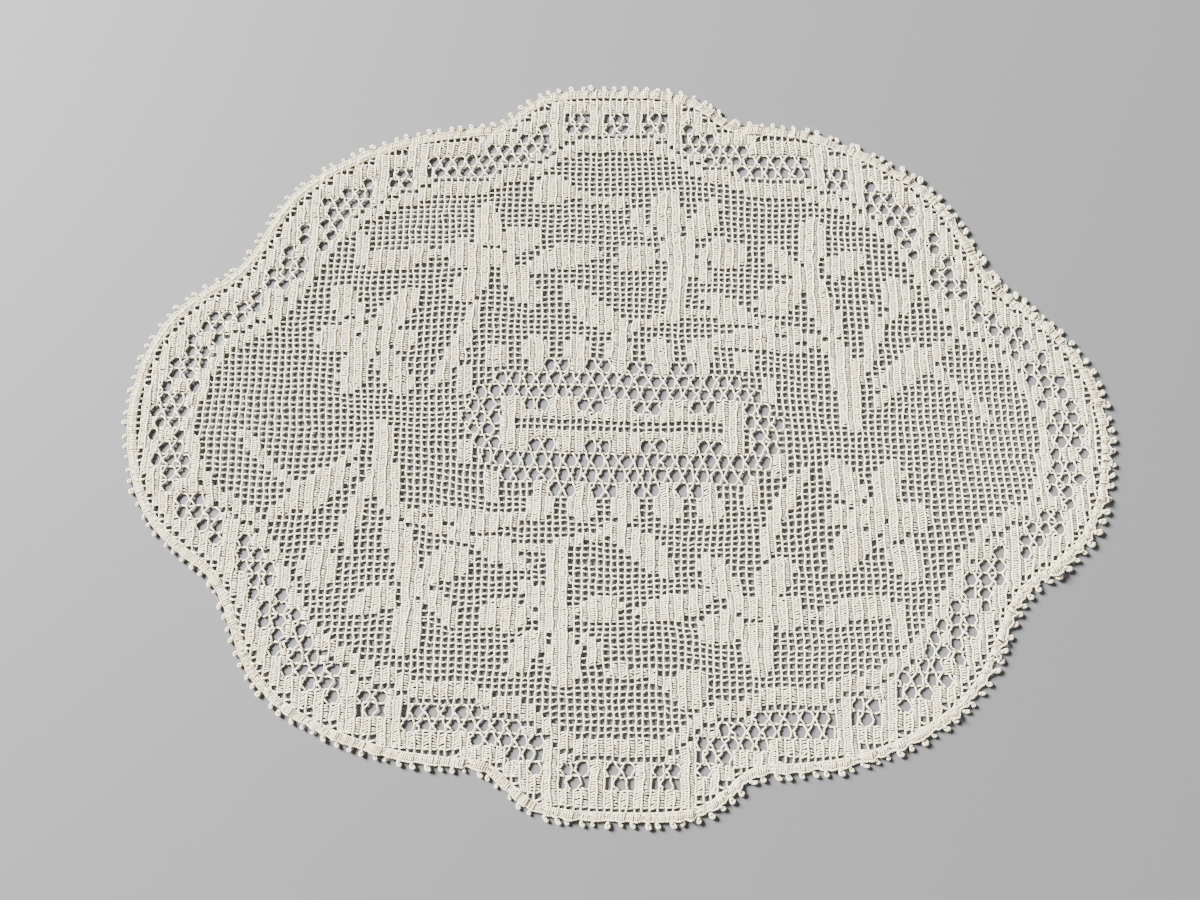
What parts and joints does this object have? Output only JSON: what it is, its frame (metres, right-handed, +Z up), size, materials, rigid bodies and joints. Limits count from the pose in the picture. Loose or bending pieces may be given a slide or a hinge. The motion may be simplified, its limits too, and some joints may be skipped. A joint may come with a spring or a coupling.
{
  "type": "crochet lace placemat",
  "caption": "Flat scalloped oval filet crochet mat: cotton net with block motifs, chain arch openings and a picot edging round its rim.",
  "frame": {"origin": "middle of the mat's box, on its underside", "axes": "+X along the mat's length, +Y across it along the rows of crochet, +Z up out of its face"},
  "size_m": [0.4536, 0.347, 0.0016],
  "materials": {
    "filet_cotton": "matt undyed crochet cotton, plied thread showing",
    "edging_cotton": "matt undyed crochet cotton, worked closer and slightly raised"
  },
  "bodies": {
    "root": {"filet_ground": "filet_cotton", "picot_edging": "edging_cotton"}
  },
  "joints": []
}
